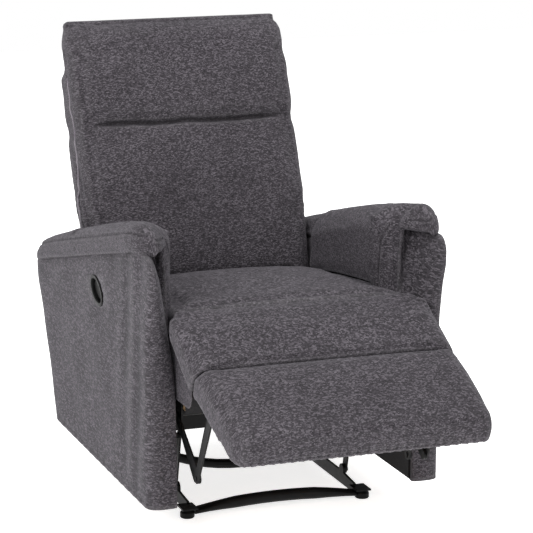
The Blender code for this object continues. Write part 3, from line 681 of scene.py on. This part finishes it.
def build_footrest():
    rings = []
    half = 0.311
    for x in sorted({*np.linspace(-half, half, 41).round(4), -RIM, RIM, -RIM + 0.002, RIM - 0.002}):
        wide = abs(x)
        back = STATION_Y - 0.314 - 0.052 * min(max((wide - 0.2790) / 0.030, 0.0), 1.0) ** 0.8
        crown = 0.004 * (1 - (wide / half) ** 4) - 0.020 * max(0.0, (wide - 0.284) / 0.027) ** 2.2
        knee = on_foot(0.0, PAD_DEPTH - 0.004 + crown)
        start = linear(back - STATION_Y, ((-0.372, 0.5085), (-0.345, 0.5160), (-0.314, 0.5205)))
        middle_y = (back + knee[0]) / 2
        middle_z = linear(middle_y - STATION_Y, ((-0.534, 0.4445), (-0.360, 0.5150), (-0.314, 0.5205))) + crown
        under = -0.009 if wide > RIM - 0.001 else 0.0058
        slope = math.atan2(HINGE.z - CREASE.z, HINGE.y - CREASE.y)
        low = [(y - under * math.sin(slope), z + under * math.cos(slope)) for y, z in
               ((CREASE.y + 0.006, CREASE.z + 0.0037), (min(HINGE.y - 0.003, back - 0.004), HINGE.z - 0.002))]
        tongue = [(back - 0.020, 0.497), (back, start - 0.011)] if wide < RIM - 0.001 else [(back, start - 0.030)]
        top = [(back, start - 0.002), (back - 0.006, start), (middle_y, middle_z),
               (knee[0] + 0.014, knee[1] + 0.0075), (knee[0] + 0.002, knee[1] - 0.004)]
        ring = low + tongue + top
        if wide >= RIM - 0.001:
            ring.insert(3, (back, start - 0.016))
        rings.append([(x, y, z) for y, z in ring])
    calf = refine(puff(remesh(lofted("calf_pad", rings), 0.006, smooth=4), 0.006))
    rear = [at(x, -0.321, 0.530) for x in np.linspace(-0.275, 0.275, 30)]
    seam(calf, snapped(calf, rear), 0.0045, 0.0032, 0.0003, 0.05)
    upholster(calf, (1, 0, 0), (0, 1, 0), 0.6, "flap_pad", grain=(0.9, 0.6))
    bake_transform(calf)

    rings = []
    half = 0.307
    for x in sorted({*np.linspace(-half, half, 41).round(4), -RIM, RIM, -RIM + 0.002, RIM - 0.002}):
        wide = abs(x)
        edge = max(0.0, (wide - 0.285) / (half - 0.285))
        end = 0.276 - 0.030 * edge**2.5
        drop = 0.020 * max(0.0, (wide - 0.280) / 0.027) ** 2.2
        top = PAD_DEPTH + 0.004 * (1 - (wide / half) ** 4) - drop
        outer = wide > RIM - 0.001
        under = -0.009 if outer else 0.0058
        outline = [(0.0035, under), (0.0015, PAD_DEPTH - 0.014), (0.004, top - 0.005), (0.014, top), (0.09, top + 0.005),
                   (0.18, top + 0.002), (end - 0.022, top - 0.004), (end - 0.006, top - 0.014), (end, top - 0.030),
                   (end - 0.001, 0.006), (end - 0.006, -0.006), (end - 0.014, -0.009), (0.2495, -0.009), (0.2495, under)]
        rings.append([(x * (1 - 0.036 * max(s, 0) / 0.27), *on_foot(s, n)) for s, n in outline])
    foot = refine(puff(remesh(lofted("foot_pad", rings), 0.006, smooth=4), 0.006))
    hem = [Vector((x, *on_foot(0.2735, 0.008))) for x in np.linspace(-0.285, 0.285, 24)]
    seam(foot, snapped(foot, hem), 0.0024, 0.0035, 0.0012, 0.022)
    upholster(foot, (1, 0, 0), (0, 1, 0), 0.6, "ottoman_pad", grain=(0.9, 0.7))
    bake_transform(foot)


# ---------------------------------------------------------------- the arms


ARM_OUT, ARM_FRAME_OUT, FRAME_IN = 0.3540, 0.3246, 0.3088
ARM_FRONT, ARM_FOOT = -0.355, 0.070
NOSE_DEPTH = 0.0345


def arm_top(y):
    return min(0.658, 0.653 - 0.2277 * (y + 0.255))


def arm_rear(z):
    """Where the arm's rear edge is at that height."""
    edge = linear(z, ((0.069, 0.431), (0.140, 0.465), (0.223, 0.497), (0.330, 0.548), (0.399, 0.593), (0.425, 0.600)))
    crown = -0.255 + (0.653 - z) / 0.2277
    return min(edge, max(crown, -0.272))


def arm_front(z):
    lean = ((0.46, 0.0), (0.54, -0.013), (0.59, -0.027), (0.625, -0.025), (0.646, -0.010), (0.658, 0.018))
    return ARM_FRONT + linear(z, lean)


def arc(centre, radii, start, end, steps):
    turns = [math.radians(start + (end - start) * k / steps) for k in range(steps + 1)]
    return [(centre[0] + radii[0] * math.cos(t), centre[1] + radii[1] * math.sin(t)) for t in turns]


def nose_bevel(z):
    """Where the bevel meets the nose's front, and the (x, y) of its rear edge."""
    rows = ((0.20, 0.2868, 0.2868, -0.345), (0.340, 0.2900, 0.2866, -0.332), (0.400, 0.2960, 0.2862, -0.314),
            (0.483, 0.3110, 0.2865, -0.272), (0.540, 0.3205, 0.2930, -0.2585), (0.590, 0.3300, 0.3010, -0.2510),
            (0.630, 0.3400, 0.3110, -0.2430), (0.658, 0.3470, 0.3230, -0.2400))
    return [linear(z, [(row[0], row[k]) for row in rows]) for k in (1, 2, 3)]


def nose_curve(z):
    """The nose in plan from its outer corner round to the bevel's rear edge, as one smooth curve."""
    front = arm_front(z)
    x_front, x_rear, y_rear = nose_bevel(z)
    corner = [(ARM_OUT, front + 0.030), (ARM_OUT, front - 0.001), (x_front, front - 0.001)]
    corner += [(x_front + 0.5 * (x_rear - x_front), front + 0.45 * (y_rear - front)), (x_rear, y_rear)]
    first = bezier(corner[0], corner[1], ((ARM_OUT + x_front) / 2, front - 0.001), 9)
    start = first[-1]
    return first + bezier(start, (x_front, front - 0.001), corner[3], 9)[1:] + bezier(corner[3], None, corner[4], 7)[1:]


def bezier(a, b, c, steps):
    """A quadratic curve from a to c, drawn towards b. Without b it is straight."""
    b = b or ((a[0] + c[0]) / 2, (a[1] + c[1]) / 2)
    curve = []
    for k in range(steps + 1):
        t = k / steps
        weights = ((1 - t) ** 2, 2 * t * (1 - t), t * t)
        curve.append(tuple(sum(w * p[axis] for w, p in zip(weights, (a, b, c))) for axis in (0, 1)))
    return curve


def arm_section(z):
    """(x, y) round the arm's cover at that height, for the arm on +X."""
    front, rear = arm_front(z), arm_rear(z)
    outer = [(ARM_OUT, rear + (front + 0.030 - rear) * (k / 44)) for k in range(44)]
    nose = nose_curve(z)
    x_rear, y_rear = nose[-1]
    step = max(ARM_FRONT + NOSE_DEPTH, y_rear + 0.0012)
    back = [(x_rear + 0.0012, y_rear + 0.0010), (x_rear + 0.004, step)]
    back += [(ARM_FRAME_OUT, step + 0.0004 + (rear - 0.009 - step) * k / 20) for k in range(21)]
    return outer + nose + back + [(FRAME_IN, rear - 0.0086), (FRAME_IN, rear)]


def arm_cover(name, sign):
    heights = [ARM_FOOT, ARM_FOOT + 0.003, *np.arange(0.080, 0.640, 0.0075), 0.643, 0.650, 0.655]
    rings = [[at(sign * x, y, z) for x, y in arm_section(z)] for z in heights]
    cover = refine(lofted("arm_cover_" + name, rings))
    co, normals = points_of(cover), normals_of(cover)
    y, z = co[:, 1] - STATION_Y, co[:, 2]
    outside = np.clip((np.abs(co[:, 0]) - 0.345) / 0.006, 0, 1)
    inside_edges = np.clip((y + 0.37) / 0.06, 0, 1) * np.clip((z - 0.075) / 0.05, 0, 1)
    folds = 0.0022 * np.sin((y + 0.10 * z) * 2 * math.pi / 0.105 + 0.7) * np.exp(-(((y + 0.24) / 0.10) ** 2))
    quilt = 0.0012 * np.sin(y * 2 * math.pi / 0.23 + 2 * z) * np.cos(z * 2 * math.pi / 0.31)
    belly = 0.0030 * np.exp(-(((z - 0.33) / 0.17) ** 2)) * np.exp(-(((y - 0.02) / 0.24) ** 2))
    co[:, 0] += sign * outside * inside_edges * (folds + quilt + belly)
    if sign < 0:
        handle_hollow(co, y, z)
    set_points(cover, co)
    hem = [at(sign * ARM_OUT, y_at, 0.083) for y_at in np.linspace(-0.34, 0.42, 40)]
    seam(cover, snapped(cover, hem), 0.0012, 0.0035, 0.0006, 0.05)
    upholster(cover, (0, 1, 0), (0, 0, 1), 0.3, "arm_outer_panel_" + name, grain=(0.5, 0.65))
    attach(cover, "seat")
    edge = [at(sign * (nose_bevel(h)[1] + 0.0005), nose_bevel(h)[2], h) for h in np.linspace(0.073, 0.650, 40)]
    welt("arm_face_welt_" + name, edge, 0.0016, "seat")


HANDLE_TILT = math.radians(20.0)
HANDLE_HALF = (0.0510, 0.0310)
HANDLE_FLANGE = 0.0045


def handle_hollow(co, y, z):
    """Presses the cover in behind the handle's cup, and draws it to the rim."""
    low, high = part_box("handle_bezel")
    centre_y, centre_z = (low.y + high.y) / 2 - STATION_Y, (low.z + high.z) / 2
    along = (y - centre_y) * math.cos(HANDLE_TILT) + (z - centre_z) * math.sin(HANDLE_TILT)
    across = (z - centre_z) * math.cos(HANDLE_TILT) - (y - centre_y) * math.sin(HANDLE_TILT)
    out = np.hypot(along / (HANDLE_HALF[0] - HANDLE_FLANGE), across / (HANDLE_HALF[1] - HANDLE_FLANGE))
    outer_skin = co[:, 0] < -0.34
    co[outer_skin & (out < 1.0), 0] = -0.3270
    near = outer_skin & (out >= 1.0) & (out < 2.4)
    pull = np.clip((2.4 - out[near]) / 1.4, 0, 1) ** 2
    co[near, 0] = co[near, 0] * (1 - pull) + (-ARM_OUT) * pull


def cushion_inner(y):
    if y < -0.265:
        return linear(y, ((-0.345, 0.325), (-0.335, 0.313), (-0.315, 0.302), (-0.290, 0.2905), (-0.266, 0.2800)))
    if y < -0.165:
        return linear(y, ((-0.2655, 0.292), (-0.256, 0.2905), (-0.245, 0.2855), (-0.232, 0.2740), (-0.215, 0.2630),
                          (-0.195, 0.2550), (-0.165, 0.252)))
    return linear(y, ((-0.165, 0.252), (0.225, 0.2535), (0.243, 0.262), (0.251, 0.2855), (0.572, 0.2885)))


def cushion_outer(y):
    return linear(y, ((-0.345, 0.330), (-0.338, 0.343), (-0.325, 0.3535), (-0.300, 0.3625), (-0.265, 0.3665),
                      (0.50, 0.3665), (0.572, 0.362)))


def seat_edge(y):
    """How high the upholstered seat stands beside the arm."""
    co = points_of(bpy.data.objects["seat_pad"])
    near = (np.abs(np.abs(co[:, 0]) - 0.258) < 0.009) & (np.abs(co[:, 1] - y - STATION_Y) < 0.010)
    return float(co[near, 2].max()) if near.any() else 0.44


def cushion_section(y):
    """(x, z) round the arm cushion at y: boxing outside, a dome on top, and the drape inside."""
    base = arm_top(y) - 0.011
    share = linear(y, ((-0.345, 0.56), (-0.337, 0.72), (-0.318, 0.86), (-0.280, 0.98), (-0.20, 1.10), (-0.05, 1.15),
                       (0.10, 1.12), (0.25, 1.05), (0.43, 0.96), (0.54, 0.82), (0.572, 0.6)))
    inner, outer = cushion_inner(y), cushion_outer(y)
    box_top = base + 0.047 * min(share, 1.0)
    top = base + 0.073 * share
    hang = -0.268 < y < 0.246
    low = min(seat_edge(y) - 0.002, base + 0.012) if hang else base + 0.013
    ring = [(outer - 0.010, base + 0.003), (outer - 0.004, base), (outer, base + 0.006), (outer + 0.0004, base + 0.024)]
    ring += [(outer - 0.001, box_top - 0.006), (outer - 0.0045, box_top + 0.001)]
    crown = outer - 0.0045
    for k in range(1, 12):
        t = k / 12
        x = crown + (inner + 0.004 - crown) * t
        rise = math.sin(math.pi * min(t * 0.95 + 0.02, 1.0)) ** 0.6
        shelf = box_top + (base + 0.030 * share - box_top) * t**2.2
        ring.append((x, shelf + (top - box_top) * rise * (1 - 0.35 * t)))
    ring += [(inner, base + 0.020 * share), (inner, (base + low) / 2 + 0.004), (inner + 0.001, low + 0.007)]
    wall = max(0.2860, inner + 0.010) if not hang else max(0.2862, inner + 0.004)
    ring += [(min(inner + 0.007, wall - 0.001), low), (wall - 0.001, low), (wall, low + 0.003), (wall, base + 0.0155)]
    ring += [(wall + 0.012, base + 0.0158), (outer - 0.0115, base + 0.0158)]
    return ring


def drape_front(name, sign):
    """The cushion's front boxing, which turns down beside the nose and closes the drape."""
    rings = []
    for z in np.linspace(0.455, 0.672, 30):
        _, x_rear, y_rear = nose_bevel(z)
        corner = (x_rear + 0.0050, y_rear - 0.0050)
        inner = (linear(z, ((0.46, 0.2600), (0.62, 0.2620), (0.672, 0.2700))), -0.2080)
        bulge = ((corner[0] + inner[0]) / 2 - 0.0100, (corner[1] + inner[1]) / 2 - 0.0260)
        outline = bezier(corner, bulge, inner, 6)
        wall = 0.2893
        outline += [(0.2560, -0.190), (0.2560, -0.160), (wall, -0.160), (wall, max(y_rear + 0.010, -0.235))]
        outline += [(max(wall, corner[0] - 0.006), y_rear + 0.0060), (corner[0] + 0.0008, corner[1] + 0.0070)]
        rings.append([at(sign * x, y, z) for x, y in outline])
    return lofted("drape_front_" + name, rings)


def joined(name, *objects):
    """One mesh from several, for the remesh to merge."""
    bm = bmesh.new()
    for obj in objects:
        bm.from_mesh(obj.data)
        bpy.data.objects.remove(obj)
    mesh = bpy.data.meshes.new(name)
    bm.to_mesh(mesh)
    bm.free()
    return new_object(name, mesh)


def arm_cushion(name, sign):
    stations = [-0.345, -0.341, -0.333, -0.320, -0.300, -0.280, -0.269, -0.2675, -0.255, -0.240, -0.220, -0.195,
                -0.165, *np.arange(-0.13, 0.21, 0.034), 0.225, 0.238, 0.2455, 0.2470, 0.262, 0.30, 0.35, 0.40,
                0.45, 0.50, 0.54, 0.56, 0.572]
    rings = [[at(sign * x, y, z) for x, z in cushion_section(y)] for y in stations]
    whole = joined("arm_cushion_" + name, lofted("pad_" + name, rings), drape_front(name, sign))
    pad = remesh(whole, 0.0045, smooth=3)
    pad = refine(puff(pad, 0.006))
    boxing = [at(sign * (cushion_outer(y) - 0.003), y, arm_top(y) + 0.036) for y in np.linspace(-0.310, 0.560, 50)]
    boxing = [at(sign * 0.272, -0.300, 0.690), at(sign * 0.300, -0.345, 0.692), at(sign * 0.325, -0.342, 0.694), *boxing]
    seam(pad, snapped(pad, boxing), 0.0026, 0.0030, 0.0003, 0.040, 0.0005)
    front = [at(sign * x, y, z) for x, y, z in
             ((0.257, -0.206, 0.500), (0.258, -0.208, 0.570), (0.259, -0.214, 0.620), (0.262, -0.245, 0.668))]
    seam(pad, snapped(pad, smooth_path(front, 8)), 0.0020, 0.0030, 0.0003, 0.04, 0.0006)
    pleat = [at(sign * 0.338, -0.128, 0.683), at(sign * 0.325, -0.115, 0.700)]
    seam(pad, snapped(pad, smooth_path(pleat, 6)), 0.0040, 0.0030, 0.0, 0.02, 0.0010)
    upholster(pad, (0, 1, 0), (1, 0, 0), 0.6, "arm_pad_" + name, grain=(0.5, 0.6))
    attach(pad, "seat")


def seat_side(name, sign):
    """The covered board between the arm and the footrest, with a rounded lower front corner."""
    inner, outer = 0.2808, 0.2850
    front, bottom, radius = -0.448, 0.322, 0.034
    corner = arc((front + radius, bottom + radius), (radius, radius), 180, 270, 8)
    outline = [(-0.200, 0.455), (front, 0.455), (front, 0.41), *corner, (-0.36, bottom), (-0.200, bottom)]
    steps = ((inner + 0.0012, 0.0016), (inner, 0.0), (outer, 0.0), (outer - 0.0012, 0.0016))
    middle = (-0.315, 0.37)
    rings = []
    for x, inset in steps:
        ring = [(y + (middle[0] - y) * inset / 0.1, z + (middle[1] - z) * inset / 0.09) for y, z in outline]
        rings.append([at(sign * x, y, z) for y, z in ring])
    side = remesh(lofted("seat_side_" + name, rings), 0.0022, smooth=2)
    upholster(side, (0, 1, 0), (0, 0, 1), 0.2, "seat_side_panel_" + name)
    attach(side, "seat")
    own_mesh(side)


def inner_facing(name, sign):
    """The fabric that closes the arm's inner side beside the back."""
    rings = []
    for x in (0.2893, 0.2904):
        outline = [(0.200, 0.380), (0.200, arm_top(0.200) - 0.004), (0.420, arm_top(0.420) - 0.004), (0.420, 0.380)]
        rings.append([at(sign * x, y, z) for y, z in outline])
    facing = lofted("arm_inner_facing_" + name, rings)
    weave_map(facing, (0, 1, 0), (0, 0, 1))
    mark_wear_and_shade(facing)
    facing.data.materials.append(FABRIC)
    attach(facing, "seat")


def rail_lining(node, out):
    """Black cloth tacked over the outward face of a seat rail."""
    low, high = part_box(node)
    face = (low.y if out < 0 else high.y) + out * 0.0008
    rings = []
    for k in range(41):
        x = low.x - 0.001 + (high.x - low.x + 0.002) * k / 40
        sag = face + out * (0.0014 + 0.0008 * math.sin(k * 0.9))
        rings.append([(x, sag, high.z - 0.002), (x, sag, low.z - 0.004), (x, face, low.z - 0.004), (x, face, high.z - 0.002)])
    cloth = lofted(node + "_lining", rings)
    cloth.data.materials.append(FINISHES["lining"])
    cloth.data.shade_smooth()
    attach(cloth, "seat")


def build_arms():
    for name, sign in SIDES:
        arm_cover(name, sign)
        arm_cushion(name, sign)
        seat_side(name, sign)
        inner_facing(name, sign)
    rail_lining("seat_front_rail", -1)
    rail_lining("seat_rear_rail", 1)


# ---------------------------------------------------------------- the stage


def build_stage():
    bpy.ops.mesh.primitive_plane_add(size=16, location=(0, 0, -0.0005))
    floor = bpy.context.object
    floor.name = "floor"
    n = Nodes("pale_floor")
    place = n.add("ShaderNodeTexCoord").outputs["Object"]
    colour = n.ramp(n.noise(place, 3.0), ((0.3, (0.90, 0.90, 0.90)), (0.7, (0.93, 0.93, 0.93))))
    glow = n.shader.inputs["Emission Color"]
    glow.default_value = (1, 1, 1, 1)
    floor.data.materials.append(n.surface(colour, 0.7, Specular_IOR_Level=0.2, Emission_Strength=0.75))


def area_light(name, place, size, power, colour=(1, 1, 1)):
    light = bpy.data.lights.new(name, "AREA")
    light.energy = power
    light.size = size
    light.color = colour
    obj = new_object(name, light)
    obj.location = place
    aim = Vector((0, 0, 0.5)) - Vector(place)
    obj.rotation_euler = aim.to_track_quat("-Z", "Y").to_euler()


def build_light():
    world = bpy.data.worlds.new("studio")
    world.use_nodes = True
    background = world.node_tree.nodes["Background"]
    background.inputs["Color"].default_value = (1, 1, 1, 1)
    background.inputs["Strength"].default_value = 1.0
    bpy.context.scene.world = world
    area_light("key", (-3.2, -2.2, 2.8), 2.2, 110)
    area_light("top", (0.4, -0.6, 3.4), 2.4, 60)
    bpy.context.scene.view_settings.view_transform = "Standard"


def build_camera():
    camera = bpy.data.cameras.new("camera")
    camera.sensor_width = 36
    camera.lens = 160.1
    camera.shift_x, camera.shift_y = 0.0402, 0.0480
    obj = new_object("camera", camera)
    target = Vector((0, 0.0722, 0.47))
    azimuth, elevation = math.radians(-19.7), math.radians(13.24)
    away = Vector((math.sin(azimuth) * math.cos(elevation), -math.cos(azimuth) * math.cos(elevation),
                   math.sin(elevation)))
    obj.location = target + away * 5.64
    obj.rotation_euler = (-away).to_track_quat("-Z", "Y").to_euler()
    bpy.context.scene.camera = obj


build_camera()
build_light()
build_stage()
dress_cad_nodes()
build_back()
build_seat()
build_footrest()
build_arms()
